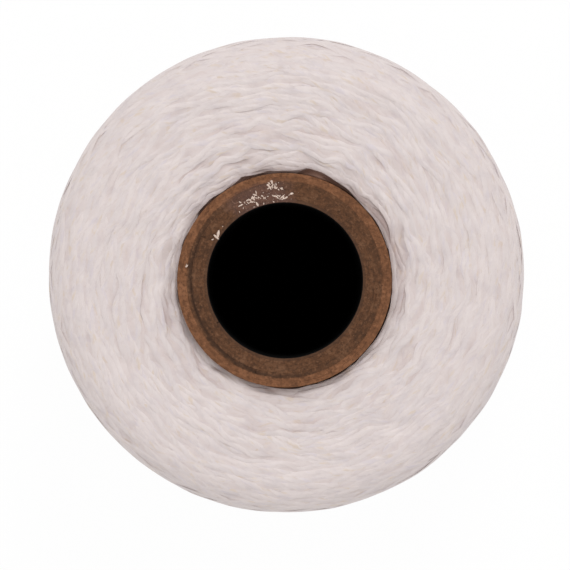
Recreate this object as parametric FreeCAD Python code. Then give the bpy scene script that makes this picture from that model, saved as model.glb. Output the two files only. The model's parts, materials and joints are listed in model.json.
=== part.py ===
"""Waxed thread spool: a self-supporting package of waxed thread wound on a paper tube.

The tube is wound from narrow paper strips, one ply over another: a thin liner round the
bore, four grey-brown body plies and two lighter wrap plies. Each strip closes on itself
in a helical butt seam, and the seams are staggered from ply to ply. A dark parting line
runs between the third and fourth body plies.

The thread fills the tube between its two bare ends. Its bulk is one plain body with a
dished end face at each end and rounded shoulders, and the last of the thread is wound
over it as one unbroken strand: outwards over the upper face, down the side and inwards
over the lower face.

Lengths are in millimetres. The tube stands on its lower end at Z = 0, its axis is +Z.
"""

import FreeCAD, Part
import math
import os

# Paper tube
BORE_DIAMETER = 19.05
TUBE_LENGTH = 60.0
LINER_THICKNESS = 0.30
BODY_THICKNESS = 0.48
BODY_PLIES = 4
WRAP_THICKNESS = 0.53
GLUE_LINE = 0.04
PARTING_LINE = 0.08
PARTED_AFTER = 3

# Paper strips
STRIP_LEAD = 58.0
SEAM_GAP = 0.4
SEAM_STAGGER = 100.0
SEAM_OVERRUN = 3.0

# Wound thread
PACK_DIAMETER = 58.0
BARE_END = 0.8
DISH_DEPTH = 1.5
DISH_WIDTH = 4.6
SHOULDER_RADIUS = 4.5
TUBE_GRIP = 0.03

# Outer strand of thread
STRAND_DIAMETER = 0.8
STRAND_BEDDING = 0.08
STRAND_TO_TUBE = 0.3
FACE_TURNS = 8
SIDE_TURNS = 8
NODES_PER_TURN = 4

UP = FreeCAD.Vector(0, 0, 1)


def ply_stack():
    """Each ply's name, inner radius and thickness, from the bore outwards."""
    plies = [("liner_ply", LINER_THICKNESS, GLUE_LINE)]
    for number in range(1, BODY_PLIES + 1):
        gap = PARTING_LINE if number == PARTED_AFTER else GLUE_LINE
        plies.append((f"body_ply_{number}", BODY_THICKNESS, gap))
    plies.append(("wrap_ply_inner", WRAP_THICKNESS, GLUE_LINE))
    plies.append(("wrap_ply_outer", WRAP_THICKNESS, 0.0))
    stack = []
    radius = BORE_DIAMETER / 2
    for name, thickness, gap_outside in plies:
        stack.append((name, radius, thickness))
        radius += thickness + gap_outside
    return stack


def tube_radius():
    """Outer radius of the paper tube."""
    _, inner_radius, thickness = ply_stack()[-1]
    return inner_radius + thickness


def paper_ply(inner_radius, thickness, seam_angle):
    """One strip of paper wound into a tube, with the gap of its helical butt seam."""
    outer = Part.makeCylinder(inner_radius + thickness, TUBE_LENGTH)
    sleeve = outer.cut(Part.makeCylinder(inner_radius, TUBE_LENGTH))
    middle_radius = inner_radius + thickness / 2
    path = Part.makeHelix(STRIP_LEAD, TUBE_LENGTH + 2 * SEAM_OVERRUN, middle_radius)
    rise = math.atan2(STRIP_LEAD, 2 * math.pi * middle_radius)
    half_height = SEAM_GAP / math.cos(rise) / 2
    corners = [
        FreeCAD.Vector(middle_radius + across * thickness, 0, along * half_height)
        for across, along in ((-1, -1), (1, -1), (1, 1), (-1, 1), (-1, -1))
    ]
    seam = Part.Wire(path.Edges).makePipeShell([Part.makePolygon(corners)], True, True)
    seam.translate(UP * -SEAM_OVERRUN)
    seam.rotate(FreeCAD.Vector(), UP, seam_angle)
    return sleeve.cut(seam)


def body_sizes():
    """Side radius and half height of the plain thread body under the outer strand."""
    cover = STRAND_DIAMETER + STRAND_BEDDING
    return PACK_DIAMETER / 2 - cover, TUBE_LENGTH / 2 - BARE_END - cover


def end_profile(offset):
    """Arcs and lines of one end of the thread body, grown outwards by offset.

    Radii and heights above mid-height, from the dish at the tube to the side. Each piece
    is (length, start, end, point at a share of it), and the dish, the flat crown and the
    shoulder are tangent to one another.
    """
    side, crown = body_sizes()
    dish_radius = (DISH_WIDTH**2 + DISH_DEPTH**2) / (2 * DISH_DEPTH)
    inner = tube_radius() + TUBE_GRIP
    dish_end = inner + DISH_WIDTH
    flat_end = side - SHOULDER_RADIUS
    dish_from = math.asin(DISH_WIDTH / dish_radius)

    def on_dish(share):
        angle = dish_from * (1 - share)
        reach = dish_radius + offset
        return dish_end - reach * math.sin(angle), crown - dish_radius + reach * math.cos(angle)

    def on_flat(share):
        return dish_end + share * (flat_end - dish_end), crown + offset

    def on_shoulder(share):
        angle = share * math.pi / 2
        reach = SHOULDER_RADIUS + offset
        return flat_end + reach * math.sin(angle), crown - SHOULDER_RADIUS + reach * math.cos(angle)

    return [
        ((dish_radius + offset) * dish_from, on_dish),
        (flat_end - dish_end, on_flat),
        ((SHOULDER_RADIUS + offset) * math.pi / 2, on_shoulder),
    ]


def thread_body():
    """The bulk of the wound thread: one turned body with dished ends and round shoulders."""
    inner = tube_radius() + TUBE_GRIP
    side, _ = body_sizes()
    middle = TUBE_LENGTH / 2

    def place(point, end):
        return FreeCAD.Vector(point[0], 0, middle + end * point[1])

    edges = []
    for end in (1, -1):
        (_, on_dish), (_, on_flat), (_, on_shoulder) = end_profile(0.0)
        for piece in (on_dish, on_shoulder):
            start, half_way, finish = (place(piece(share), end) for share in (0, 0.5, 1))
            edges.append(Part.Arc(start, half_way, finish).toShape())
        edges.append(Part.makeLine(place(on_flat(0), end), place(on_flat(1), end)))
    for point in (end_profile(0.0)[0][1](0), end_profile(0.0)[2][1](1)):
        edges.append(Part.makeLine(place(point, -1), place(point, 1)))
    outline = Part.Wire(Part.__sortEdges__(edges))
    return Part.Face(outline).revolve(FreeCAD.Vector(), UP, 360)


def strand_route():
    """Length of the strand's meridian from face to face, and the point at a length along it.

    The meridian starts on the upper dish, one clearance off the tube, follows the end
    profile to the side, runs down it and mirrors itself on the lower end.
    """
    offset = STRAND_DIAMETER / 2 + STRAND_BEDDING
    pieces = end_profile(offset)
    dish_length, on_dish = pieces[0]
    near_tube = tube_radius() + STRAND_DIAMETER / 2 + STRAND_TO_TUBE
    first, last = 0.0, 1.0
    for _ in range(40):
        share = (first + last) / 2
        if on_dish(share)[0] < near_tube:
            first = share
        else:
            last = share
    start = share * dish_length
    face_length = sum(length for length, _ in pieces) - start
    side_radius, side_top = pieces[-1][1](1)
    side_length = 2 * side_top
    total = 2 * face_length + side_length

    def meridian(travelled):
        mirrored = travelled > total / 2
        left = total - travelled if mirrored else travelled
        sign = -1 if mirrored else 1
        if left > face_length:
            return side_radius, sign * (side_top - (left - face_length))
        left += start
        for length, point_at in pieces:
            if left <= length:
                break
            left -= length
        radius, height = point_at(min(left / length, 1.0))
        return radius, sign * height

    half_shoulder = pieces[-1][0] / 2
    return total, face_length - half_shoulder, meridian


def strand_point(turn):
    """Point on the strand's centreline after so many turns, counted from the upper dish."""
    total, face_share, meridian = strand_route()
    turns = 2 * FACE_TURNS + SIDE_TURNS
    if turn < FACE_TURNS:
        travelled = face_share * turn / FACE_TURNS
    elif turn < turns - FACE_TURNS:
        travelled = face_share + (total - 2 * face_share) * (turn - FACE_TURNS) / SIDE_TURNS
    else:
        travelled = total - face_share * (turns - turn) / FACE_TURNS
    radius, height = meridian(min(max(travelled, 0.0), total))
    angle = 2 * math.pi * turn
    return FreeCAD.Vector(
        radius * math.cos(angle), radius * math.sin(angle), TUBE_LENGTH / 2 + height
    )


def strand_tangent(turn):
    """Direction of the strand at so many turns, from the points a little before and after."""
    turns = 2 * FACE_TURNS + SIDE_TURNS
    step = 0.01
    before, after = max(turn - step, 0.0), min(turn + step, turns)
    return (strand_point(after) - strand_point(before)).normalize()


def biarc(start, start_along, end, end_along):
    """Two arcs that leave start along one direction, arrive at end along another, and meet
    where their tangent lengths are equal."""
    span = end - start
    both = start_along + end_along
    bend = 2 * (1 - start_along.dot(end_along))
    projected = span.dot(both)
    reach = (math.sqrt(projected**2 + bend * span.dot(span)) - projected) / bend
    corners = start + start_along * reach, end - end_along * reach
    joint = (corners[0] + corners[1]) / 2
    arcs = []
    for first, corner, last in ((start, corners[0], joint), (joint, corners[1], end)):
        chord_middle = (first + last) / 2
        half_chord = (last - first).Length / 2
        turned = math.acos(min(half_chord / reach, 1.0))
        towards = FreeCAD.Vector(corner - chord_middle).normalize()
        rise = half_chord * math.tan(turned / 2)
        arcs.append(Part.Arc(first, chord_middle + towards * rise, last))
    return arcs


def strand_path():
    """The strand's centreline: a straight end, biarcs of a quarter turn each, a straight end."""
    turns = 2 * FACE_TURNS + SIDE_TURNS
    stations = [n / NODES_PER_TURN for n in range(turns * NODES_PER_TURN + 1)]
    points = [strand_point(turn) for turn in stations]
    alongs = [strand_tangent(turn) for turn in stations]
    curves = []
    for n in range(len(stations) - 1):
        curves += biarc(points[n], alongs[n], points[n + 1], alongs[n + 1])
    first_end = points[0] - alongs[0] * STRAND_DIAMETER
    last_end = points[-1] + alongs[-1] * STRAND_DIAMETER
    lead_in = Part.LineSegment(first_end, points[0])
    lead_out = Part.LineSegment(points[-1], last_end)
    return [lead_in, *curves, lead_out]


def outer_strand():
    """The last of the thread: one round strand swept along its centreline."""
    curves = strand_path()
    path = Part.Wire([curve.toShape() for curve in curves])
    start = curves[0].StartPoint
    along = curves[0].EndPoint - start
    section = Part.Wire(Part.makeCircle(STRAND_DIAMETER / 2, start, along))
    return path.makePipeShell([section], True, False)


def report_strand(strand):
    """Prints the strand's length, volume ratio, tightest arc and least gap to itself."""
    curves = strand_path()
    length = sum(curve.length() for curve in curves)
    section = math.pi * STRAND_DIAMETER**2 / 4
    tightest = min(curve.toShape().Curve.Radius for curve in curves[1:-1])
    print(f"outer strand: {length:.0f} mm long, tightest arc {tightest:.2f} mm")
    print(f"outer strand: volume is {strand.Volume / (section * length):.4f} of section times length")
    turns = 2 * FACE_TURNS + SIDE_TURNS
    per_turn = 24
    points = []
    for curve in curves[1:-1]:
        first, last = curve.FirstParameter, curve.LastParameter
        points += [curve.value(first + (last - first) * k / 3) for k in range(3)]
    least = min(
        (points[n] - points[n + per_turn + shift]).Length
        for n in range(len(points) - per_turn - 2)
        for shift in (-2, -1, 0, 1, 2)
    )
    print(f"outer strand: {turns} loops, least gap to itself {least - STRAND_DIAMETER:.2f} mm")


def main():
    os.makedirs("parts", exist_ok=True)
    parts = {}
    for number, (name, inner_radius, thickness) in enumerate(ply_stack()):
        parts[name] = paper_ply(inner_radius, thickness, number * SEAM_STAGGER)
    parts["thread_body"] = thread_body()
    parts["thread_outer_strand"] = outer_strand()
    for name, shape in parts.items():
        solids = len(shape.Solids)
        print(f"{name}: {solids} solid, valid {shape.isValid()}, {shape.Volume / 1000:.3f} cm3")
        shape.exportStep(f"parts/{name}.step")
    report_strand(parts["thread_outer_strand"])
    print(f"tube: {2 * tube_radius():.2f} mm outside, {BORE_DIAMETER:.2f} mm bore")


main()
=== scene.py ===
"""A cross-wound spool of waxed thread on a paper tube, seen straight down its axis.

The winding is laid strand by strand, in the order a winder lays it. A strand comes up the
side, turns back at the end face in an almost straight chord, and goes down again, and each
one rests on those under it. Paper plies with cut ends make the tube.

Lengths are millimetres until a mesh is made; the meshes are in metres.
"""

import json
import math

import bpy
import numpy as np
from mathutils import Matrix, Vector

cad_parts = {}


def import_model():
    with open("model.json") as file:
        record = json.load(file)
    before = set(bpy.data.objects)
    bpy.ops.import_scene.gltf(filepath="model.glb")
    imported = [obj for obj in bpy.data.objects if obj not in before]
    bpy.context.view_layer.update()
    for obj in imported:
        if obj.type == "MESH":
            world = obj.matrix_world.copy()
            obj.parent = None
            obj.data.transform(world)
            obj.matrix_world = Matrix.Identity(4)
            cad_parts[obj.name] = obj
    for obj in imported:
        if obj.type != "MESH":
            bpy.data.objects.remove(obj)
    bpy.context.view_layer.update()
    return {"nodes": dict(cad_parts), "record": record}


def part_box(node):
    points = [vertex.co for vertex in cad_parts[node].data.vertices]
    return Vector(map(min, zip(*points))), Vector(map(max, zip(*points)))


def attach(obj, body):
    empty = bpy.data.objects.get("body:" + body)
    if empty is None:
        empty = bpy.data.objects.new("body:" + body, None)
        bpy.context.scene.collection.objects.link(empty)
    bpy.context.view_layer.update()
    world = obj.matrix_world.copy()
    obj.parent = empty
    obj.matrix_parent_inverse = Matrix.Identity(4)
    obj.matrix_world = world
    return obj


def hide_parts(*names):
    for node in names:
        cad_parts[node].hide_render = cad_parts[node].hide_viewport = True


MM = 0.001

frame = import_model()


# Sizes read from the frame

def outer_radius(node):
    """Outer radius of a round node on the axis."""
    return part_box(node)[1][0] / MM


def inner_radius(node):
    """Inner radius of a round node on the axis, the smallest distance of its vertices."""
    mesh = frame["nodes"][node].data
    places = np.empty(len(mesh.vertices) * 3)
    mesh.vertices.foreach_get("co", places)
    matrix = np.array(frame["nodes"][node].matrix_world)
    places = places.reshape(-1, 3) @ matrix[:3, :3].T + matrix[:3, 3]
    return float(np.hypot(places[:, 0], places[:, 1]).min()) / MM


BORE_RADIUS = next(mount["dims"]["r_mm"] for mount in frame["record"]["mounts"]
                   if mount["name"] == "spindle_bore")
TUBE_RADIUS = outer_radius("wrap_ply_outer")
TUBE_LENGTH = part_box("wrap_ply_outer")[1][2] / MM
SWELL = 0.3
PACK_RADIUS = outer_radius("thread_outer_strand") + SWELL
PACK_HALF = (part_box("thread_outer_strand")[1][2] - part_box("thread_outer_strand")[0][2]) / MM / 2
MIDDLE = TUBE_LENGTH / 2

# The winding's form: the end face's dish, the rounded shoulder, and how far it drifts off the axis
DISH_WIDTH = 4.6
DISH_DEPTH = 1.15
SHOULDER = 4.6
DRIFT = (0.176, 0.70)

# A strand while it is laid, and then pressed together with the others by the wax
STRAND_WIDTH = 0.84
STRAND_HEIGHT = 0.52
STEP = 0.15
PRESSED_HEIGHT = 0.20
PRESSED = 0.34
PRESSED_ABOUT = -0.15
SIDE_RELIEF = 1.6

# Turnbacks at each end, the last of them joined by full strokes along the side
TURNBACKS = 400
FULL_STROKES = 78
TUBE_STRANDS = 44
TUBE_BAND = 0.5
FIRST_CLEARANCE = 0.05
TUBE_CLEARANCE = 0.02
OUTER_BULGE = 0.06
TURNBACK_STEP = math.radians(31.0)
TURNBACK_SCATTER = 3.0
STROKE_TURNS = 1.543
TURN_LENGTH = 5.0
CHORD_ANGLE = math.radians(26.0)
CHORD_HALF = 8.0
TUBE_CHORD = 0.45
ARC_HALF = 15.0
TURNBACK_SLOPE = 0.14
# Sideways wander of a strand: how far apart its marks are, and its size
TURNBACK_WANDER = (2.6, 0.14)
STROKE_WANDER = (12.0, 0.22)

# How a strand settles: into the ones below, up over them, and sideways to the best of a few places
SINK = 0.30
CLIMB = 0.30
SETTLE = np.linspace(-0.45, 0.45, 7)
SETTLE_RUN = slice(60, 140)
SETTLE_SMOOTH = 5
LEAN = 2.6
LEAN_SPREAD = 4.0
RAISED_SPREAD = 0.10
SEED = 11

# What is shown of the strands, and the layer under them
BURIED = 0.3
SHOWN_SPACING = 0.6
MOST_FACES = 95000
UNDER_ROWS = 258
UNDER_COLUMNS = 372
UNDER_LEAST = -1.2
VALLEY = 0.03
GAP_DEPTH = 0.35

# Unevenness of the end face: sway, lumps and furrows, and their sizes
SWAY = 0.20
LUMP = 0.10
FURROW = 0.16
CRESCENTS = 70
CREASE_WIDTH = 0.30
SWAY_START = 1.2
SIDE_CALM = 0.65
TUBE_LUMPS = 3.0
# Calm outline: how much of the unevenness is gone there, and how far round the shoulder
RIM_CALM = 0.7
RIM_SPAN = 2.5
# Creases: from and to an angle in degrees, millimetres from the tube at both, and how deep
CREASES = [(-8, 12, 1.0, 1.9, 0.7), (2, 56, 0.95, 0.75, 1.5), (58, 92, 5.0, 4.7, 0.8),
           (90, 112, 4.7, 5.7, 0.7), (104, 121, 6.1, 7.1, 0.6), (122, 139, 4.3, 4.7, 0.9),
           (149, 163, 5.6, 6.4, 0.6), (174, 207, 4.1, 6.3, 0.8), (184, 206, 1.6, 2.8, 1.1),
           (166, 180, 2.4, 2.6, 0.5), (209, 222, 4.4, 3.5, 0.6), (218, 237, 3.5, 4.7, 0.8),
           (213, 235, 1.2, 2.4, 1.0), (33, 60, 6.9, 7.2, 0.6), (298, 320, 5.2, 4.2, 0.7),
           (316, 336, 4.2, 4.9, 0.8), (256, 279, 0.6, 1.4, 1.2), (338, 362, 1.2, 1.5, 0.8),
           (278, 330, 6.4, 6.6, 0.4)]
# Hollows beside the tube: from an angle, to where the thread stands furthest off, and how far
HOLLOWS = [(42, 78, 0.85), (96, 113, 0.5), (120, 139, 0.45), (150, 161, 0.2), (180, 190, 0.15),
           (254, 277, 0.25), (282, 299, 0.2), (310, 346, 0.15)]
HOLLOW_CLOSE = 7.0

# Tube: its strips, its uneven rims, and the parting line and glue on the upper one
STRIP_LEAD = 58.0
SEAM_ANGLES = {"liner_ply": 200, "body_ply_1": 300, "body_ply_2": 40, "body_ply_3": 140,
               "body_ply_4": 240, "wrap_ply_inner": 340, "wrap_ply_outer": 80}
SEAM_GAP = 0.03
PLY_OVERLAP = 0.035
CUT_BACK = 0.04
RIM_REACH = 1.5
RIM_WAVE = 0.035
RIM_SHIFT = 0.07
RIM_SHIFT_ANGLE = math.radians(-15)
PARTING_CLOSED = 0.07
PARTING_ANGLE = math.radians(205)
PARTING_RADIUS = 0.01155
GLUE_ANGLE = math.radians(106)
# Glue crumbs: middle angle in degrees and its spread, radius and its spread, and how many
CRUMBS = [(115, 4, 10.5, 0.3, 34), (104, 4, 10.5, 0.3, 30), (93, 4, 10.3, 0.3, 16),
          (98, 2.5, 11.8, 0.25, 22), (92, 3, 11.2, 0.4, 7), (172, 1, 12.1, 0.05, 2),
          (148, 6, 10.3, 0.3, 6), (80, 6, 10.6, 0.3, 4)]
CRUMB_SIZE = 0.068

# Light and view: the photograph's width, the tube's centre in it, and the millimetres it spans
WORLD = 0.8
PHOTO_WIDTH = 570
TUBE_CENTRE_PX = (285.0, 280.4)
VIEW_WIDTH = 69.5
CAMERA_DISTANCE = 700.0
SENSOR_WIDTH = 36.0


# The winding's outer surface, as a meridian

FLAT_END = PACK_RADIUS - SHOULDER
FACE_LENGTH = FLAT_END - TUBE_RADIUS
SHOULDER_LENGTH = SHOULDER * math.pi / 2
SIDE_LENGTH = 2 * (PACK_HALF - SHOULDER)
HALF_MERIDIAN = FACE_LENGTH + SHOULDER_LENGTH + SIDE_LENGTH / 2


def from_below(m):
    """A meridian length as counted from the tube at the lower end."""
    return 2 * HALF_MERIDIAN - m


def to_tube(m):
    """Meridian length from a place to the tube at its own end."""
    return np.minimum(m, from_below(m))


def dish(radius):
    """How far the end face lies below its crown: a circular arc beside the tube, then nothing."""
    big = (DISH_WIDTH**2 + DISH_DEPTH**2) / (2 * DISH_DEPTH)
    inside = np.clip(TUBE_RADIUS + DISH_WIDTH - radius, 0, DISH_WIDTH)
    return big - np.sqrt(big**2 - inside**2)


def meridian_point(m, lift):
    """Radius and height for a length m along the meridian and a lift off it.

    The meridian runs from the tube over the upper face, round the shoulder and down the
    side to mid-height, and is mirrored below.
    """
    below = m > HALF_MERIDIAN
    m = to_tube(m)
    face_radius = TUBE_RADIUS + m
    face_height = PACK_HALF - dish(face_radius) + lift
    angle = np.clip((m - FACE_LENGTH) / SHOULDER, 0, math.pi / 2)
    round_radius = FLAT_END + (SHOULDER + lift) * np.sin(angle)
    round_height = PACK_HALF - SHOULDER + (SHOULDER + lift) * np.cos(angle)
    side_height = SIDE_LENGTH / 2 - (m - FACE_LENGTH - SHOULDER_LENGTH)
    on_face = m < FACE_LENGTH
    on_side = m > FACE_LENGTH + SHOULDER_LENGTH
    radius = np.where(on_face, face_radius, np.where(on_side, PACK_RADIUS + lift, round_radius))
    height = np.where(on_face, face_height, np.where(on_side, side_height, round_height))
    return radius, np.where(below, -height, height)


def meridian_place(radius, height):
    """Length along the meridian and lift off it, for points at a radius and height."""
    below = height < 0
    height = np.abs(height)
    centre_height = PACK_HALF - SHOULDER
    out = radius - FLAT_END
    up = height - centre_height
    on_face = radius < FLAT_END
    on_side = (up < 0) & ~on_face
    angle = np.arctan2(np.maximum(out, 0), np.maximum(up, 1e-9))
    m = np.where(on_face, radius - TUBE_RADIUS, FACE_LENGTH + SHOULDER * angle)
    m = np.where(on_side, FACE_LENGTH + SHOULDER_LENGTH - up, m)
    lift = np.where(on_face, height - PACK_HALF + dish(radius), np.hypot(out, up) - SHOULDER)
    lift = np.where(on_side, radius - PACK_RADIUS, lift)
    return np.where(below, from_below(m), m), lift


def meridian_normal(m):
    """Radial and upward parts of the outward normal at a length along the meridian."""
    below = m > HALF_MERIDIAN
    m = to_tube(m)
    angle = np.clip((m - FACE_LENGTH) / SHOULDER, 0, math.pi / 2)
    return np.sin(angle), np.where(below, -np.cos(angle), np.cos(angle))


def about_axis(radius, angle, height):
    """Points or directions in space, from a radius, an angle about the axis and a height."""
    parts = np.broadcast_arrays(radius * np.cos(angle), radius * np.sin(angle), height)
    return np.stack(parts, axis=-1)


def drifted(radius, angle, height):
    """Points in space. The winding drifts off the tube's axis as it grows outwards."""
    share = (radius - TUBE_RADIUS) / (PACK_RADIUS - TUBE_RADIUS)
    x = radius * np.cos(angle) + DRIFT[0] * share
    y = radius * np.sin(angle) + DRIFT[1] * share
    return np.stack(np.broadcast_arrays(x, y, MIDDLE + height), axis=-1)


# Laying the strands

# Size of a cell, and the lift where nothing is laid yet
CELL = 0.12
BARE = -3.0


class Surface:
    """The top of the laid thread: a lift for each cell of meridian length and angle."""

    def __init__(self):
        self.rows = int(2 * HALF_MERIDIAN / CELL) + 2
        self.columns = int(2 * math.pi * PACK_RADIUS / CELL)
        self.lift = np.full((self.rows, self.columns), BARE, np.float32)
        self.offsets = np.linspace(-0.96, 0.96, 11)
        self.section = STRAND_HEIGHT / 2 * (1 - self.offsets**2)

    def spot(self, m, angle):
        """Row and column of the cell at a length along the meridian and an angle."""
        row = np.clip((m / CELL).astype(int), 0, self.rows - 1)
        return row, (angle / (2 * math.pi) * self.columns).astype(int) % self.columns

    def cells(self, m, angle):
        """Cells under the strand's width, at each of its points: offsets square to its run."""
        radius = np.maximum(meridian_point(m, 0.0)[0], 1.0)
        along_m = np.gradient(m)
        along_angle = np.gradient(angle) * radius
        length = np.hypot(along_m, along_angle) + 1e-9
        offset = self.offsets[None] * STRAND_WIDTH / 2
        rows = m[:, None] - offset * (along_angle / length)[:, None]
        turns = angle[:, None] + offset * (along_m / length / radius)[:, None]
        return self.spot(rows, turns)

    def rest(self, cells):
        """Lift at which a strand's centreline rests on what is laid already."""
        return (self.lift[cells] + self.section[None]).max(axis=1)

    def lay(self, cells, lift):
        """Raises the cells under a strand to its upper side."""
        top = (lift[:, None] + self.section[None]).astype(np.float32)
        np.maximum.at(self.lift, cells, top)


def smoothed(values, reach):
    """Values along a strand, evened out by a bell curve over reach points."""
    span = int(3 * reach)
    bell = np.exp(-0.5 * (np.arange(-span, span + 1) / reach) ** 2)
    return np.convolve(np.pad(values, span, mode="edge"), bell / bell.sum(), mode="valid")


def pressed(lift):
    """Lift of a strand in the finished winding, where the wax has packed the relief down."""
    return PRESSED_ABOUT + (lift - PRESSED_ABOUT) * PRESSED


def evened(lift, rows, columns):
    """A map of lifts evened out by a bell curve over a number of rows and of columns."""
    along = np.fft.fftfreq(lift.shape[0])[:, None] * rows
    round_it = np.fft.rfftfreq(lift.shape[1])[None] * columns
    bell = np.exp(-2 * math.pi**2 * (along**2 + round_it**2))
    return np.fft.irfft2(np.fft.rfft2(lift) * bell, lift.shape)


def closed(lift, rows, columns):
    """A map of lifts with its gaps filled: raised to its highest neighbours, then lowered again."""
    for pick in (np.maximum, np.minimum):
        for axis, reach in ((0, rows), (1, columns)):
            shifted = [np.roll(lift, n, axis) for n in range(-reach, reach + 1)]
            lift = pick.reduce(shifted)
    return lift


def hollow(angle):
    """How far the thread stands off the tube: more to a hollow's end, where it closes quickly."""
    degrees = np.degrees(angle)
    off = np.zeros_like(degrees)
    for first, last, most in HOLLOWS:
        past = (degrees - first) % 360
        closing = 1 - (past - (last - first)) / HOLLOW_CLOSE
        off = np.maximum(off, most * np.clip(np.minimum(past / (last - first), closing), 0, 1))
    return off


class Ruffle:
    """Unevenness that neighbouring strands share: sway along the face, lumps and furrows."""

    def __init__(self, surface):
        self.rng = np.random.default_rng(SEED + 4)
        self.surface = surface
        # A wide sway with a little of a finer one
        self.sway = self.drawn(8, 13) * 0.8 + self.drawn(4, 7) * 0.4
        self.lumps = self.drawn(5, 11)
        self.furrows = np.zeros(surface.lift.shape)
        self.lengths = np.arange(surface.rows) * CELL
        self.turns = np.arange(surface.columns) / surface.columns * 2 * math.pi
        for end in (1, -1):
            self.crescents(end)
        for first, last, near, far, deep in CREASES:
            share = ((np.degrees(self.turns) - first) % 360) / (last - first)
            line = near + (far - near) * np.minimum(share, 1) ** 1.6
            self.furrow(line, share, deep, CREASE_WIDTH, 1)

    def drawn(self, rows, columns):
        """Seeded noise over the winding, about 1 high, evened over some rows and columns."""
        noise = evened(self.rng.normal(size=self.surface.lift.shape), rows, columns)
        return noise / noise.std()

    def furrow(self, line, share, deep, width, end):
        """Adds a furrow along a line of meridian lengths, open where share goes from 0 to 1."""
        inside = (share > 0) & (share < 1)
        lengths = self.lengths if end > 0 else from_below(self.lengths)
        across = (lengths[:, None] - line[inside][None]) / width
        valley = deep * np.sin(math.pi * share[inside]) ** 0.6 * np.exp(-across**2)
        self.furrows[:, inside] = np.maximum(self.furrows[:, inside], valley)

    def crescents(self, end):
        """Seeded furrows along chords of the face, each from beside its chord's middle outwards."""
        rng = self.rng
        for _ in range(CRESCENTS):
            radius = math.sqrt(rng.uniform((TUBE_RADIUS + 0.8) ** 2, (FLAT_END + 1.5) ** 2))
            reach = rng.uniform(2.5, 5.5)
            away = (self.turns - rng.uniform(0, 2 * math.pi)) % (2 * math.pi) - 1.0 / radius
            line = radius / np.cos(np.clip(away, -0.5, 0.5)) - TUBE_RADIUS
            deep = rng.uniform(0.2, 0.8)
            width = rng.uniform(0.15, 0.3)
            self.furrow(line, (away * radius + 1.0) / reach, deep, width, end)

    def moved(self, m, angle, lift):
        """Length along the meridian and lift of points in the ruffled winding.

        Nothing sways right at the tube, and the lumps are up to twice as high beside it. The
        side is calmer than the face, and the outline is the calmest.
        """
        spot = self.surface.spot(m, angle)
        near = to_tube(m)
        free = np.clip(near / SWAY_START - 0.3, 0, 1)
        calm = 1 - SIDE_CALM * np.clip((near - FACE_LENGTH) / SHOULDER + 0.5, 0, 1)
        high = 1 + np.clip(1 - near / TUBE_LUMPS, 0, 1)
        lift = PRESSED_ABOUT + (lift - PRESSED_ABOUT) * self.rim_fade(m)
        lift = lift + (self.lumps[spot] * LUMP * high - self.furrows[spot] * FURROW) * calm
        return m + self.sway[spot] * SWAY * free * calm, lift

    def rim_fade(self, m):
        """Less than 1 where the shoulder meets the side, which is a smooth outline in the photograph."""
        past = to_tube(m) - FACE_LENGTH - SHOULDER_LENGTH
        return 1 - RIM_CALM * np.exp(-(past / RIM_SPAN) ** 2)

    def shadow(self, m, angle, crevice):
        """How deep a point lies, in a furrow or under its neighbours: the share of painted shade in its
        colour.
        """
        return (crevice * 0.6 + self.furrows[self.surface.spot(m, angle)]) * self.rim_fade(m)


def fall(distance, slope):
    """Drop away from a turnback: a parabola over the turn, then straight down the slope."""
    away = np.abs(distance)
    turn = slope * away**2 / (2 * TURN_LENGTH)
    return np.where(away < TURN_LENGTH, turn, slope * (away - TURN_LENGTH / 2))


def half_chord(middle_radius):
    """Half the angle of a turnback's chord: a fixed length of thread, or less beside the tube."""
    return min(CHORD_ANGLE, CHORD_HALF / middle_radius)


def chord(distance, middle_radius, half_angle):
    """Radius along a turnback: a straight chord through its middle, then the circle at its ends."""
    angle = np.clip(np.abs(distance) / middle_radius, 0, half_angle)
    return middle_radius / np.cos(angle)


def crown(radius):
    """Height of the turnbacks at a radius: the face, falling round the shoulder."""
    reach = SHOULDER - STRAND_HEIGHT / 2
    out = np.clip(radius - FLAT_END, 0, reach)
    return PACK_HALF - STRAND_HEIGHT / 2 - dish(radius) - (reach - np.sqrt(reach**2 - out**2))


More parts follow.
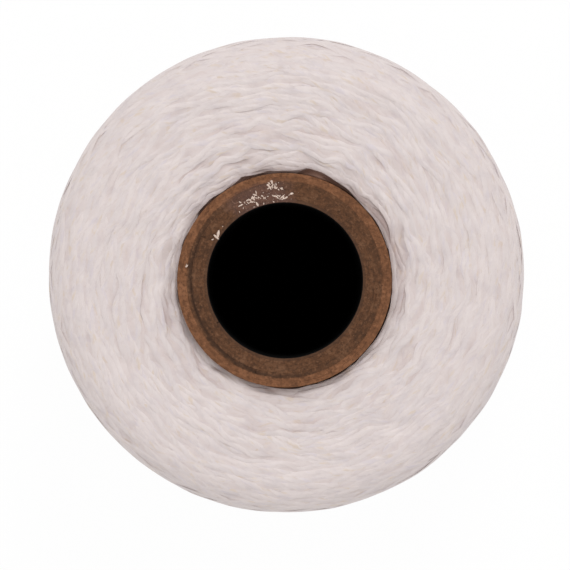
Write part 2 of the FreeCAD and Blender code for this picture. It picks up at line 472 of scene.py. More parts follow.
class Winding:
    """Lays the strands in a winder's order and keeps their paths."""

    def __init__(self):
        self.rng = np.random.default_rng(SEED)
        self.surface = Surface()
        self.strands = []
        rank = (np.arange(TURNBACKS - TUBE_STRANDS) + 0.5) / (TURNBACKS - TUBE_STRANDS)
        inner = TUBE_RADIUS + STRAND_WIDTH / 2 + FIRST_CLEARANCE
        first = np.linspace(inner, inner + TUBE_BAND, TUBE_STRANDS)
        outer = PACK_RADIUS - STRAND_HEIGHT / 2 - CLIMB + OUTER_BULGE
        outer *= math.cos(half_chord(PACK_RADIUS))
        self.radii = np.concatenate([first, np.sqrt(inner**2 + rank * (outer**2 - inner**2))])

    def keep(self, m, angle, lift):
        """Rests one strand on the surface, lays it and stores its path."""
        cells = self.surface.cells(m, angle)
        rest = self.surface.rest(cells) - SINK
        lift = smoothed(np.clip(rest, lift, lift + CLIMB), SETTLE_SMOOTH)
        self.surface.lay(cells, lift)
        self.strands.append((m, angle, lift))

    def wander(self, run, spacing, size):
        """Seeded sideways wander along a strand, smooth between marks at a spacing."""
        marks = np.arange(run[0], run[-1] + spacing, spacing)
        values = np.interp(run, marks, self.rng.normal(0, size, len(marks)))
        return smoothed(values, spacing / STEP * 0.35)

    def turnback(self, rank, end):
        """One turnback on an end face, with both its legs going down under later ones."""
        rng = self.rng
        middle = TURNBACK_STEP * (rank + (0.5 if end < 0 else 0))
        middle += math.radians(rng.normal(0, TURNBACK_SCATTER))
        run = np.arange(-ARC_HALF, ARC_HALF, STEP)
        peak = LEAN + rng.normal(0, LEAN_SPREAD)
        wander = self.wander(run, *TURNBACK_WANDER)
        raised = rng.normal(0, RAISED_SPREAD)
        half_angle = half_chord(self.radii[rank]) * rng.uniform(0.7, 1.1)
        if rank < TUBE_STRANDS:
            half_angle *= TUBE_CHORD
        best = None
        for shift in SETTLE:
            radius = self.radii[rank] + shift
            angle = middle + run / radius
            path_radius = chord(run, radius, half_angle)
            slope = TURNBACK_SLOPE * PACK_RADIUS / (radius + 6)
            low = fall(run - peak * end, slope)
            height = crown(path_radius.min()) + raised - low
            least = STRAND_WIDTH / 2 + TUBE_CLEARANCE + hollow(angle)
            path_radius = np.maximum(path_radius, TUBE_RADIUS + least)
            m, lift = meridian_place(path_radius, height)
            m = np.maximum(m + wander, least)
            if end < 0:
                m = from_below(m)
            cells = self.surface.cells(m, angle)
            over = (self.surface.rest(cells) - lift)[SETTLE_RUN]
            cost = np.maximum(over, -0.3).mean() + 0.15 * shift**2
            if best is None or cost < best[0]:
                best = (cost, m, angle, lift)
        self.keep(*best[1:])

    def stroke(self, rank, end):
        """One full stroke down or up the side, from a turnback to the opposite one."""
        rng = self.rng
        middle_radius = self.radii[rank]
        half_angle = half_chord(middle_radius)
        radius = middle_radius / math.cos(half_angle)
        sweep = STROKE_TURNS * 2 * math.pi
        start = TURNBACK_STEP * rank + (sweep if end < 0 else 0)
        run = np.arange(0, sweep * radius, STEP)
        left = run[-1] - run
        angle = start + run / radius
        path_radius = np.minimum(chord(run, middle_radius, half_angle),
                                 chord(left, middle_radius, half_angle))
        top = crown(middle_radius)
        slope = 2 * top / (run[-1] - TURN_LENGTH)
        height = np.where(run < left, top - fall(run, slope), fall(left, slope) - top)
        height = height + self.wander(run, *STROKE_WANDER)
        m, lift = meridian_place(path_radius, height)
        if end < 0:
            m = from_below(m)
        self.keep(m, angle, lift)

    def wind(self):
        """Inner turnbacks at both ends first, then the full strokes of the outer layers."""
        for rank in range(TURNBACKS - FULL_STROKES):
            self.turnback(rank, 1)
            self.turnback(rank, -1)
        for rank in range(TURNBACKS - FULL_STROKES, TURNBACKS):
            self.stroke(rank, 1)
            self.stroke(rank, -1)
        return self


# Meshes

def add_mesh(name, points, faces, material, uv=None, **values):
    """A smooth mesh object from points in millimetres and four-cornered faces."""
    mesh = bpy.data.meshes.new(name)
    mesh.vertices.add(len(points))
    mesh.vertices.foreach_set("co", (points * MM).astype(np.float32).ravel())
    mesh.loops.add(faces.size)
    mesh.loops.foreach_set("vertex_index", faces.astype(np.int32).ravel())
    mesh.polygons.add(len(faces))
    mesh.polygons.foreach_set("loop_start", np.arange(0, faces.size, 4, dtype=np.int32))
    mesh.polygons.foreach_set("use_smooth", np.ones(len(faces), bool))
    mesh.update(calc_edges=True)
    if uv is not None:
        mesh.uv_layers.new(name="along").data.foreach_set("uv", uv.astype(np.float32).ravel())
    for value, numbers in values.items():
        mesh.attributes.new(value, "FLOAT", "POINT").data.foreach_set("value", numbers.astype(np.float32))
    mesh.validate()
    piece = bpy.data.objects.new(name, mesh)
    bpy.context.scene.collection.objects.link(piece)
    mesh.materials.append(material)
    return piece


def wrapped_faces(rings, sides, mirrored=False):
    """Four-cornered faces between rings of points, each of which is closed round its sides."""
    here = np.arange(rings - 1)[:, None] * sides + np.arange(sides)[None]
    beside = np.arange(rings - 1)[:, None] * sides + (np.arange(sides)[None] + 1) % sides
    corners = [here, beside, beside + sides, here + sides]
    if mirrored:
        corners = [here, here + sides, beside + sides, beside]
    return np.stack(corners, axis=-1).reshape(-1, 4)


# Section of a strand: a low arch with its two feet at the sides, and one point under it
SECTION = np.array([[1, 0], [0.55, 0.7], [0, 1], [-0.55, 0.7], [-1, 0], [0, -0.8]])
FEET = (0, 4)


def strand_tube(ruffle, m, angle, lift):
    """Points, faces and UV of one strand.

    Each ring is the strand's section, wide along the surface and low along its normal, and
    taller on the side. The first and last rings shrink almost to a point.
    """
    m, lift = ruffle.moved(m, angle, pressed(lift))
    radius, height = meridian_point(m, lift)
    centre = drifted(radius, angle, height)
    tangent = np.gradient(centre, axis=0)
    tangent /= np.linalg.norm(tangent, axis=1, keepdims=True)
    outward, upward = meridian_normal(m)
    normal = about_axis(outward, angle, upward)
    normal -= tangent * (normal * tangent).sum(axis=1, keepdims=True)
    normal /= np.linalg.norm(normal, axis=1, keepdims=True)
    across = np.cross(tangent, normal)
    sides = len(SECTION)
    size = np.ones(len(m))
    size[[0, -1]] = 0.02
    size[[1, -2]] = 0.7
    on_side = np.clip((to_tube(m) - FACE_LENGTH) / SHOULDER_LENGTH - 0.8, 0, 1)
    arch = PRESSED_HEIGHT / 2 * (1 + (SIDE_RELIEF - 1) * on_side)
    ring = (across[:, None] * (SECTION[:, 0] * STRAND_WIDTH / 2)[None, :, None]
            + normal[:, None] * (SECTION[:, 1][None] * arch[:, None])[..., None])
    points = (centre[:, None] + ring * size[:, None, None]).reshape(-1, 3)
    faces = wrapped_faces(len(m), sides)
    steps = np.linalg.norm(np.diff(centre, axis=0), axis=1)
    length = np.concatenate([[0], np.cumsum(steps)])
    low = np.repeat(length[:-1], sides)
    high = np.repeat(length[1:], sides)
    left = np.tile(np.arange(sides) / sides, len(m) - 1)
    right = left + 1 / sides
    uv = np.stack([np.stack([low, left], -1), np.stack([low, right], -1),
                   np.stack([high, right], -1), np.stack([high, left], -1)], axis=1)
    return points, faces, uv.reshape(-1, 2)


def shown_runs(surface, m, angle, lift):
    """The stretches of a strand that are near the top of the winding, thinned to a spacing."""
    cells = surface.cells(m, angle)
    hidden = surface.lift[cells].min(axis=1) - (lift + STRAND_HEIGHT / 2) > BURIED
    near = smoothed((~hidden).astype(float), 4) > 0.02
    edges = np.flatnonzero(np.diff(np.concatenate([[0], near.astype(int), [0]])))
    step = round(SHOWN_SPACING / STEP)
    runs = []
    for first, last in zip(edges[::2], edges[1::2]):
        picked = np.arange(first, last, step)
        if len(picked) > 5:
            runs.append(picked)
    return runs


def strand_pieces(winding, ruffle, material):
    """Every shown strand as tubes, gathered into pieces of a limited number of faces."""
    rng = np.random.default_rng(SEED + 1)
    batches = []
    points, faces, uvs, tints, depths = [], [], [], [], []
    count = start = 0

    def close():
        """Ends a piece and empties the lists for the next."""
        batches.append(tuple(np.concatenate(part) for part in (points, faces, uvs, tints, depths)))
        for part in (points, faces, uvs, tints, depths):
            part.clear()

    for m, angle, lift in winding.strands:
        tint = rng.random()
        # deep is painted shade: where a strand lies under its neighbours or in a furrow
        over = winding.surface.lift[winding.surface.cells(m, angle)].mean(axis=1) - lift
        deep = ruffle.shadow(m, angle, np.clip(smoothed(over, 5) / 0.5 - 0.55, 0, 1))
        for picked in shown_runs(winding.surface, m, angle, lift):
            tube_points, tube_faces, uv = strand_tube(ruffle, m[picked], angle[picked], lift[picked])
            if count + len(tube_faces) > MOST_FACES:
                close()
                count = start = 0
            points.append(tube_points)
            faces.append(tube_faces + start)
            uvs.append(uv)
            tints.append(np.full(len(tube_points), tint))
            depths.append(np.repeat(deep[picked], len(SECTION)))
            start += len(tube_points)
            count += len(tube_faces)
    close()
    pieces = []
    for number, (places, corners, uv, tint, deep) in enumerate(batches, 1):
        piece = add_mesh(f"thread_strands_{number}", places, corners, material, uv, tint=tint, deep=deep)
        sharpen_feet(piece.data)
        pieces.append(piece)
    return pieces


def sharpen_feet(mesh):
    """Keeps every strand's two foot edges sharp, so that its arch shades evenly down to them."""
    ends = np.empty(len(mesh.edges) * 2, np.int32)
    mesh.edges.foreach_get("vertices", ends)
    side = ends.reshape(-1, 2) % len(SECTION)
    sharp = (side[:, 0] == side[:, 1]) & np.isin(side[:, 0], FEET)
    mesh.attributes.new("sharp_edge", "BOOLEAN", "EDGE").data.foreach_set("value", sharp)


def under_layer(winding, ruffle, material, lower):
    """The thread between the shown strands: the top of the winding with its gaps filled.

    Each half of the winding has one such layer, closed at the tube and at mid-height. In the hollows
    beside the tube it lies deep, with painted shade in its colour.
    """
    surface = winding.surface
    m = np.linspace(0, HALF_MERIDIAN, UNDER_ROWS)[:, None]
    angle = np.linspace(0, 2 * math.pi, UNDER_COLUMNS + 1)[None, :-1]
    filled = closed(np.maximum(surface.lift, UNDER_LEAST), 2, 4)
    top = evened(filled, 1.5, 1.5)
    crevice = evened(np.clip((filled - surface.lift) / 0.35, 0, 1), 1.0, 1.0)
    place = from_below(m) if lower else m
    spot = surface.spot(place, angle)
    # The gap is open in the hollows, and everything is a little deeper right at the tube. Painted shade
    # goes with both: gap darkens the hollows, and deep darkens the colour at the tube and in crevices.
    off = hollow(angle)
    gap = np.clip((off + 0.3 - m) / 0.5, 0, 1) * np.clip(off / 0.2, 0, 1)
    at_tube = np.clip(1 - m / 0.35, 0, 1)
    lift = pressed(top[spot]) - VALLEY - GAP_DEPTH * gap - 0.03 * at_tube
    deep = np.clip(ruffle.shadow(place, angle, crevice[spot]) + 0.6 * at_tube, 0, 1.5)
    place, lift = ruffle.moved(place, angle, lift)
    m = from_below(place) if lower else place
    # Two more rows close the layer: along the tube, from mid-height back to its first row
    deep = np.concatenate([deep, deep[-1:] * 0, deep[:1]])
    gap = np.concatenate([gap, gap[-1:] * 0, gap[:1]])
    angle = angle[0]
    radius, height = meridian_point(m, lift)
    ends = np.full((1, len(angle)), TUBE_RADIUS + 0.02)
    radius = np.concatenate([radius, ends, ends])
    height = np.concatenate([height, ends * 0, height[:1]])
    grid = drifted(radius, angle[None], -height if lower else height)
    rows, columns = grid.shape[:2]
    here = np.arange(rows)[:, None] * columns + np.arange(columns)[None]
    next_row = np.roll(here, -1, axis=0)
    faces = np.stack([here, next_row, np.roll(next_row, -1, axis=1), np.roll(here, -1, axis=1)], -1)
    faces = faces.reshape(-1, 4)
    name = "thread_under_lower" if lower else "thread_under_upper"
    turn = np.arange(columns + 1) / columns * 2 * math.pi
    along = np.maximum(radius.mean(axis=1), 1)[:, None] * turn[None]
    width = (1 if lower else -1) * HALF_MERIDIAN / (UNDER_ROWS - 1) / STRAND_WIDTH / 1.5
    across = np.broadcast_to(np.arange(rows + 1)[:, None] * width, (rows + 1, columns + 1))
    along = np.concatenate([along, along[:1]])
    uv = np.stack([along, across], -1)
    uv = np.stack([uv[:-1, :-1], uv[1:, :-1], uv[1:, 1:], uv[:-1, 1:]], axis=2).reshape(-1, 4, 2)
    if lower:
        faces = faces[:, ::-1]
        uv = uv[:, ::-1]
    tint = np.full(rows * columns, 0.5)
    return add_mesh(name, grid.reshape(-1, 3), faces, material, uv.reshape(-1, 2), tint=tint,
                    deep=deep.ravel(), gap=gap.ravel())


# The tube

def waviness(angle, seed, lobes, size):
    """A smooth wave round the tube: a few seeded harmonics."""
    rng = np.random.default_rng(seed)
    order = np.arange(1, lobes + 1)
    share = rng.normal(0, 1, (2, lobes)) / order**0.7
    turn = angle[..., None] * order
    return (share[0] * np.cos(turn) + share[1] * np.sin(turn)).sum(-1) * size


def sleeve(node, columns, rows, material):
    """One ply of the tube: a strip wound in a helix, with square cut, slightly ragged rims.

    The grid follows the strip, so its first and last columns are the strip's two long edges,
    which lie side by side at the seam. The profile goes up the outer face and down the inner
    one, and each rim is a low dome.
    """
    inner = inner_radius(node) - (PLY_OVERLAP if node != "liner_ply" else 0)
    outer = outer_radius(node) + (PLY_OVERLAP if node != "wrap_ply_outer" else 0)
    seed = sorted(SEAM_ANGLES).index(node) + 20
    # Half of a rim: share of half the ply's thickness, and how far down from the cut
    rim = np.array([[0.2, 0.0], [0.75, 0.003], [0.97, 0.008], [1.0, 0.03]])
    walls = np.linspace(CUT_BACK, TUBE_LENGTH - CUT_BACK, rows)[1:-1]
    side = np.concatenate([rim, np.stack([np.ones(rows - 2), walls], -1),
                           np.stack([rim[::-1, 0], TUBE_LENGTH - rim[::-1, 1]], -1)])
    half = (outer - inner) / 2
    centre = (inner + outer) / 2
    profile_radius = np.concatenate([centre + half * side[:, 0], centre - half * side[::-1, 0]])
    profile_height = np.concatenate([side[:, 1], side[::-1, 1]])
    gap = SEAM_GAP / outer
    strip = math.radians(SEAM_ANGLES[node]) + np.linspace(gap / 2, 2 * math.pi - gap / 2, columns)
    angle = strip[:, None] + 2 * math.pi * profile_height[None] / STRIP_LEAD
    depth = (profile_radius - BORE_RADIUS) / (TUBE_RADIUS - BORE_RADIUS)
    at_rim = np.exp(-np.minimum(profile_height, TUBE_LENGTH - profile_height) / RIM_REACH)
    radius = profile_radius + waviness(angle, 5, 9, RIM_WAVE) * np.sin(math.pi * depth) * at_rim
    radius = radius - RIM_SHIFT * np.cos(angle - RIM_SHIFT_ANGLE) * depth * at_rim
    if node == "body_ply_4":
        closing = np.clip(0.6 - 0.9 * np.cos(angle - PARTING_ANGLE), 0, 1)
        radius = radius - (profile_radius < centre) * at_rim * PARTING_CLOSED * closing
    ragged = np.abs(waviness(angle, seed, 40, 0.012)) + np.abs(waviness(angle, seed + 50, 6, 0.02))
    height = profile_height + np.where(profile_height < TUBE_LENGTH / 2, ragged, -ragged) * at_rim
    points = about_axis(radius, angle, height).reshape(-1, 3)
    count = len(profile_height)
    skin = wrapped_faces(columns, count, mirrored=True)
    step = np.arange(len(side) - 1)
    near = np.stack([step, step + 1, count - 2 - step, count - 1 - step], axis=-1)
    far = near[:, ::-1] + (columns - 1) * count
    faces = np.concatenate([skin, near, far])
    return add_mesh(node.replace("_ply", "_paper"), points, faces, material)


# Materials

class Wire:
    """A value that runs through a material. Python's operators on it add Math nodes."""

    def __init__(self, finish, socket):
        self.finish = finish
        self.socket = socket

    def maths(self, operation, *values):
        """A Math node on some values."""
        return self.finish.node("ShaderNodeMath", {"operation": operation}, dict(enumerate(values)))

    def __add__(self, other):
        return self.maths("ADD", self, other)

    def __radd__(self, other):
        return self.maths("ADD", other, self)

    def __sub__(self, other):
        return self.maths("SUBTRACT", self, other)

    def __rsub__(self, other):
        return self.maths("SUBTRACT", other, self)

    def __mul__(self, other):
        return self.maths("MULTIPLY", self, other)

    def __truediv__(self, other):
        return self.maths("DIVIDE", self, other)

    def __pow__(self, other):
        return self.maths("POWER", self, other)


class Finish:
    """A material under construction."""

    def __init__(self, name, owner=None):
        self.material = owner or bpy.data.materials.new(name)
        self.material.use_nodes = True
        self.tree = self.material.node_tree
        self.tree.nodes.clear()

    def node(self, kind, settings=None, inputs=None, output=0):
        """Adds a node: its settings first, then the values or wires of its sockets."""
        made = self.tree.nodes.new(kind)
        for key, value in (settings or {}).items():
            setattr(made, key, value)
        for key, value in (inputs or {}).items():
            if isinstance(value, Wire):
                self.tree.links.new(value.socket, made.inputs[key])
            else:
                made.inputs[key].default_value = value
        return Wire(self, made.outputs[output]) if made.outputs else None

    def place(self):
        """Object coordinates, in metres."""
        return self.node("ShaderNodeTexCoord", {}, {}, 3)

    def part(self, vector, number):
        """X, Y or Z of a vector, by its number from 0."""
        return self.node("ShaderNodeSeparateXYZ", {}, {0: vector}, number)

    def joined(self, x, y, z):
        """A vector from its parts."""
        return self.node("ShaderNodeCombineXYZ", {}, {0: x, 1: y, 2: z})

    def attribute(self, name):
        """A number that the mesh carries at its points."""
        return self.node("ShaderNodeAttribute", {"attribute_name": name}, {}, 2)

    def mix(self, share, first, second):
        """Colour between first and second by a share."""
        return self.node("ShaderNodeMix", {"data_type": "RGBA"}, {0: share, 6: first, 7: second}, 2)

    def ramp(self, value, low, high):
        """0 at low and 1 at high, eased in between."""
        return self.node("ShaderNodeMapRange", {"interpolation_type": "SMOOTHSTEP"},
                         {0: value, 1: low, 2: high, 3: 0.0, 4: 1.0})

    def noise(self, place, scale, detail=2.0, rough=0.5):
        """Noise from 0 to 1 at a place."""
        return self.node("ShaderNodeTexNoise", {"noise_dimensions": "3D"},
                         {"Vector": place, "Scale": scale, "Detail": detail, "Roughness": rough})

    def bump(self, height, distance, strength):
        """A normal from a height times a distance in metres."""
        return self.node("ShaderNodeBump", {},
                         {"Height": height, "Distance": distance, "Strength": strength})

    def seen(self):
        """1 for rays that come straight from the camera, off a gloss or through glass."""
        kinds = [self.node("ShaderNodeLightPath", {}, {}, output) for output in (0, 3, 6)]
        return kinds[0].maths("MAXIMUM", kinds[0].maths("MAXIMUM", kinds[0], kinds[1]), kinds[2])

    def surface(self, **sockets):
        """The shader itself, from sockets named with underscores."""
        named = {key.replace("_", " "): value for key, value in sockets.items()}
        shader = self.node("ShaderNodeBsdfPrincipled", {}, named)
        self.node("ShaderNodeOutputMaterial", {}, {"Surface": shader})
        return self.material


def rgb(red, green, blue):
    """A colour with full alpha."""
    return (red, green, blue, 1.0)


def thread_finish():
    """Off-white waxed thread: three twisted plies, broken fibres, cream and lilac patches, with painted
    shade in grooves, crevices and hollows and painted highlight on fibre peaks.
    """
    finish = Finish("waxed_thread")
    uv = finish.node("ShaderNodeUVMap", {"uv_map": "along"})
    along, around = finish.part(uv, 0), finish.part(uv, 1)
    tint, deep, gap = (finish.attribute(name) for name in ("tint", "deep", "gap"))
    place = finish.place()
    x, y = finish.part(place, 0), finish.part(place, 1)
    loose = finish.noise(place, 700.0, 3.0, 0.6)
    turns = around * 2.25 + along / 2.0 + tint * 7.0 + loose * 1.6
    plies = turns.maths("ABSOLUTE", turns.maths("SINE", turns * math.pi))
    slid = around + along / 4.5 + loose * 0.35
    fibres = finish.noise(finish.joined(along * 0.75, slid * 4.0, tint * 90.0), 1.0, 3.0, 0.6)
    dashes = finish.noise(finish.joined(along * 0.42, slid * 2.0, tint * 50.0), 1.0, 2.0)
    streaks = finish.noise(place, 520.0, 3.0, 0.6)
    colour = finish.mix(tint, rgb(0.676, 0.600, 0.588), rgb(0.716, 0.632, 0.614))
    colour = finish.mix(finish.ramp(dashes, 0.58, 0.72) * 0.8, colour, rgb(0.665, 0.550, 0.460))
    colour = finish.mix(finish.ramp(dashes, 0.42, 0.28) * 0.6, colour, rgb(0.630, 0.565, 0.605))
    colour = finish.mix(finish.ramp(streaks, 0.50, 0.32) * 0.5, colour, rgb(0.615, 0.545, 0.550))
    colour = finish.mix(finish.ramp(streaks, 0.54, 0.70) * 0.4, colour, rgb(0.760, 0.680, 0.660))
    # Painted shade in the grooves between the plies
    groove = finish.ramp(plies, 0.45, 0.05) * finish.ramp(fibres, 0.62, 0.40)
    colour = finish.mix(groove * 0.18, colour, rgb(0.50, 0.40, 0.36))
    # Painted highlight on the fibres' peaks
    colour = finish.mix(finish.ramp(fibres, 0.56, 0.72) * 0.2, colour, rgb(0.80, 0.73, 0.71))
    # Painted shade in crevices and furrows, carried by deep
    colour = finish.mix(deep * 0.30, colour, rgb(0.42, 0.26, 0.22))
    # Painted shade: the thread a little darker close to the tube
    shade_beside_tube = finish.ramp((x * x + y * y) ** 0.5, 0.0160, 0.0128)
    colour = finish.mix(shade_beside_tube * 0.06, colour, rgb(0.54, 0.37, 0.33))
    # Painted shadow in the hollows beside the tube, carried by gap
    colour = finish.mix(gap * 0.92, colour, rgb(0.36, 0.205, 0.15))
    normal = finish.bump(plies * 0.6 + fibres * 0.5, 0.00008, 0.35)
    return finish.surface(Base_Color=colour, Roughness=0.5, Normal=normal)


def board_finish(name, colour, dark, light, core=None, face=None):
    """Tube board: grain, blotches, fibres that run round the tube, and an uneven parting line, painted
    shade where the gap between two plies lies.

    On one side of the upper rim the glue has dried in a reddish smear, with painted glints on its grain.
    core colours the part of a ply that lies nearer the bore, and face colours the bore side near-black,
    painted shade for the bore.
    """
    finish = Finish(name)
    place = finish.place()
    x, y, z = (finish.part(place, number) for number in range(3))
    radius = (x * x + y * y) ** 0.5
    east = x / radius
    north = y / radius
    wound = finish.joined(east * 15.0, north * 15.0, radius * 2700.0 + z * 900.0)
    fibres = finish.noise(wound, 1.0, 4.0, 0.7)
    blotches = finish.noise(place, 480.0, 5.0, 0.75)
    grain = finish.noise(place, 2600.0, 3.0, 0.75)
    main = rgb(*colour)
    if core is not None:
        inward = finish.ramp(radius + (blotches - 0.5) * 0.0012, 0.01215, 0.01165)
        main = finish.mix(inward, rgb(*colour), rgb(*core))
    shade = finish.mix(finish.ramp(fibres, 0.58, 0.34) * 0.7, main, rgb(*dark))
    shade = finish.mix(finish.ramp(fibres, 0.55, 0.72) * 0.6, shade, rgb(*light))
    shade = finish.mix(finish.ramp(blotches, 0.50, 0.66) * 0.6, shade, rgb(*light))
    shade = finish.mix(finish.ramp(blotches, 0.48, 0.32) * 0.6, shade, rgb(*dark))
    shade = finish.mix(finish.ramp(grain, 0.47, 0.34) * 0.75, shade, rgb(*dark))
    shade = finish.mix(finish.ramp(grain, 0.54, 0.68) * 0.65, shade, rgb(*light))
    swing = finish.joined(east * 2.5, north * 2.5, 4.0)
    parting = PARTING_RADIUS + (finish.noise(swing, 1.0, 4.0, 0.6) - 0.5) * 0.0014
    off_line = (radius - parting).maths("ABSOLUTE", radius - parting)
    left = finish.ramp(east * -0.8 - north * 0.45 + (fibres - 0.5) * 3.0, 0.0, 0.7)
    line = finish.ramp(off_line + (grain - 0.5) * 0.0004, 0.00042, 0.00004) * left
    # Painted shade: an uneven dark line where the gap between two plies lies
    shade = finish.mix(line * 0.7, shade, rgb(0.030, 0.015, 0.009))
    toward = east * math.cos(GLUE_ANGLE) + north * math.sin(GLUE_ANGLE)
    glue = finish.ramp(toward + (blotches - 0.5) * 0.16, 0.90, 0.99) * finish.ramp(z, 0.0585, 0.0595)
    glue = glue * finish.ramp(radius + (fibres - 0.5) * 0.001, 0.0127, 0.0114)
    shade = finish.mix(glue * 0.5, shade, rgb(0.125, 0.058, 0.045))
    # Painted glints: lighter specks on the glue's grain
    shade = finish.mix(glue * finish.ramp(grain, 0.60, 0.70) * 0.7, shade, rgb(0.36, 0.22, 0.17))
    # Painted shade: the bore side near-black
    if face is not None:
        turned = finish.part(finish.node("ShaderNodeNewGeometry", {}, {}, 1), 2)
        upright = finish.ramp(turned.maths("ABSOLUTE", turned), 0.75, 0.35)
        shade = finish.mix(upright, shade, rgb(*face))
    rough = 0.85 - glue * 0.5
    normal = finish.bump(fibres * 0.5 + grain * (0.5 + glue * 1.5), 0.00014, 0.8)
    return finish.surface(Base_Color=shade, Roughness=rough, Specular_IOR_Level=0.2, Normal=normal)


def glue_finish():
    """Dried glue crumbs: pale, warm and glossy; the pale colour is partly the glue's own and partly
    painted glints.
    """
    finish = Finish("dried_glue")
    grain = finish.noise(finish.place(), 4000.0, 2.0)
    colour = finish.mix(grain, rgb(0.52, 0.36, 0.28), rgb(0.86, 0.72, 0.62))
    return finish.surface(Base_Color=colour, Roughness=0.18, Normal=finish.bump(grain, 0.0001, 0.5))


def glue_crumbs(material):
    """Dried glue on the upper rim: small low ridges, seeded in clusters and a few strays."""
    rng = np.random.default_rng(SEED + 9)
    spots = [np.stack([rng.normal(middle, spread, count), rng.normal(at, wide, count)], -1)
             for middle, spread, at, wide, count in CRUMBS]
    spots = np.concatenate(spots)
    spots[:, 1] = np.clip(spots[:, 1], BORE_RADIUS + 0.15, TUBE_RADIUS - 0.2)
    size = rng.lognormal(math.log(CRUMB_SIZE), 0.35, len(spots))
    rows, columns = 5, 8
    polar = np.linspace(0.01, math.pi - 0.01, rows)
    turn = np.arange(columns) / columns * 2 * math.pi
    ball = about_axis(np.sin(polar)[:, None], turn[None], np.cos(polar)[:, None] * 0.6).reshape(-1, 3)
    lumps = ball[None] * size[:, None, None] * rng.uniform(0.8, 1.2, (len(spots), 1, 3))
    lumps = lumps * rng.uniform(0.75, 1.25, (len(spots), len(ball), 1))
    lumps[..., 0] *= rng.uniform(1.0, 4.0, (len(spots), 1))
    turned = rng.uniform(0, math.pi, (len(spots), 1))
    x, y, z = np.moveaxis(lumps, -1, 0)
    lumps = np.stack([x * np.cos(turned) - y * np.sin(turned),
                      x * np.sin(turned) + y * np.cos(turned), z], -1)
    place = about_axis(spots[:, 1], np.radians(spots[:, 0]), TUBE_LENGTH - 0.05)
    points = (lumps + place[:, None]).reshape(-1, 3)
    caps = np.array([[0, 1, 2, 3], [0, 3, 4, 7], [4, 5, 6, 7]])
    last = (rows - 1) * columns + caps[:, ::-1]
    one = np.concatenate([wrapped_faces(rows, columns, mirrored=True), caps, last])
    faces = (one[None] + (np.arange(len(spots)) * len(ball))[:, None, None]).reshape(-1, 4)
    return add_mesh("dried_glue_crumbs", points, faces, material)


# Stage, light and camera

def stage():
    """A white floor, and under the bore a black disc: painted shade seen through the bore."""
    finish = Finish("floor_white")
    white = finish.node("ShaderNodeEmission", {}, {"Color": rgb(1, 1, 1), "Strength": 1.0})
    paint = finish.node("ShaderNodeBsdfDiffuse", {}, {"Color": rgb(1, 1, 1)})
    both = finish.node("ShaderNodeMixShader", {}, {0: finish.seen() * 0.96, 1: paint, 2: white})
    finish.node("ShaderNodeOutputMaterial", {}, {"Surface": both})
    bpy.ops.mesh.primitive_plane_add(size=6.0, location=(0, 0, -0.0002))
    floor = bpy.context.object
    floor.name = "floor"
    floor.data.materials.append(finish.material)
    # Painted shade: a black disc under the bore
    finish = Finish("bore_painted_shade")
    shade = finish.node("ShaderNodeBsdfDiffuse", {}, {"Color": rgb(0.0015, 0.0015, 0.0015)})
    finish.node("ShaderNodeOutputMaterial", {}, {"Surface": shade})
    bpy.ops.mesh.primitive_circle_add(vertices=96, radius=0.0115, fill_type="NGON",
                                      location=(0, 0, -0.0001))
    disc = bpy.context.object
    disc.name = "bore_floor"
    disc.data.materials.append(finish.material)


def world():
    """Even white light from all round, and white where the camera sees past the floor."""
    made = bpy.data.worlds.new("studio")
    bpy.context.scene.world = made
    air = Finish("studio", made)
    level = WORLD + air.seen() * (1 - WORLD)
    light = air.node("ShaderNodeBackground", {}, {"Color": rgb(1, 1, 1), "Strength": level})
    air.node("ShaderNodeOutputWorld", {}, {"Surface": light})


def lamp(name, place, size, power):
    """A soft square lamp that looks at the spool."""
    light = bpy.data.lights.new(name, "AREA")
    light.size = size
    light.energy = power
    piece = bpy.data.objects.new(name, light)
    piece.location = place
    aim = np.array(place) - np.array([0, 0, MIDDLE * MM])
    tilt = math.acos(aim[2] / np.linalg.norm(aim))
    piece.rotation_euler = (tilt, 0, math.atan2(aim[1], aim[0]) + math.pi / 2)
    bpy.context.scene.collection.objects.link(piece)


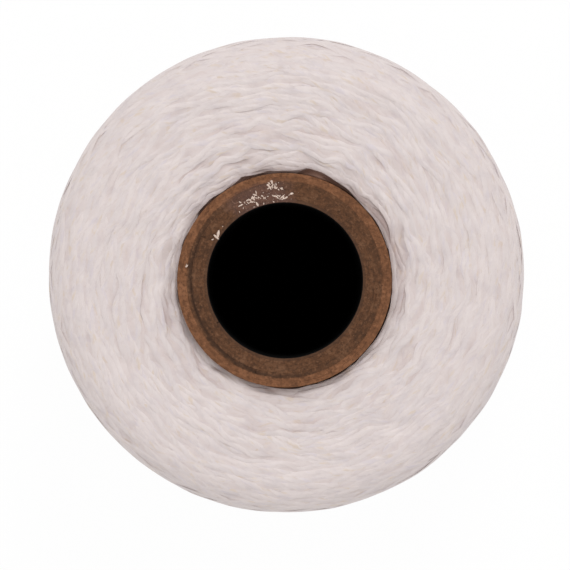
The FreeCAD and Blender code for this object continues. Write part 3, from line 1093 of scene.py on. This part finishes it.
def camera():
    """Looks straight down the axis; the photograph's up is +Y."""
    view = bpy.data.cameras.new("camera")
    view.sensor_width = SENSOR_WIDTH
    view.lens = SENSOR_WIDTH * CAMERA_DISTANCE / VIEW_WIDTH
    piece = bpy.data.objects.new("camera", view)
    scale = VIEW_WIDTH / PHOTO_WIDTH
    x = (PHOTO_WIDTH / 2 - TUBE_CENTRE_PX[0]) * scale
    y = (TUBE_CENTRE_PX[1] - PHOTO_WIDTH / 2) * scale
    piece.location = (x * MM, y * MM, (TUBE_LENGTH + CAMERA_DISTANCE) * MM)
    view.clip_end = 20.0
    bpy.context.scene.collection.objects.link(piece)
    bpy.context.scene.camera = piece


# Putting it together

winding = Winding().wind()
ruffle = Ruffle(winding.surface)
thread = thread_finish()
strands = strand_pieces(winding, ruffle, thread)
unders = [under_layer(winding, ruffle, thread, lower) for lower in (False, True)]
for piece in [*strands, *unders]:
    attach(piece, "root")
for under in unders:
    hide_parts("thread_body")
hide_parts("thread_outer_strand")

# Each paper's main colour, its dark and its light; the liner's bore side is near-black, painted shade for
# the bore
CORE = (0.116, 0.050, 0.023)
body_paper = board_finish("body_board", CORE, (0.050, 0.024, 0.013), (0.190, 0.094, 0.050))
wrap_paper = board_finish("wrap_kraft", (0.192, 0.081, 0.037), (0.095, 0.041, 0.020),
                          (0.290, 0.130, 0.064), core=CORE)
liner_paper = board_finish("liner_kraft", (0.090, 0.042, 0.022), (0.055, 0.026, 0.014),
                           (0.120, 0.060, 0.033), face=(0.002, 0.002, 0.002))
slots = {piece["node"]: piece["material_slot"] for piece in frame["record"]["subparts"]}
papers = {"liner_paper": liner_paper, "body_paper": body_paper, "wrap_paper": wrap_paper}
for node in SEAM_ANGLES:
    bare = node in ("liner_ply", "wrap_ply_outer")
    ply = sleeve(node, 241 if bare else 181, 91 if bare else 41, papers[slots[node]])
    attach(ply, "root")
    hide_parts(node)

crumbs = glue_crumbs(glue_finish())
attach(crumbs, "root")

stage()
world()
camera()
lamp("key", (0.1, 0.5, 0.9), 0.22, 2.6)
bpy.context.scene.view_settings.view_transform = "Standard"
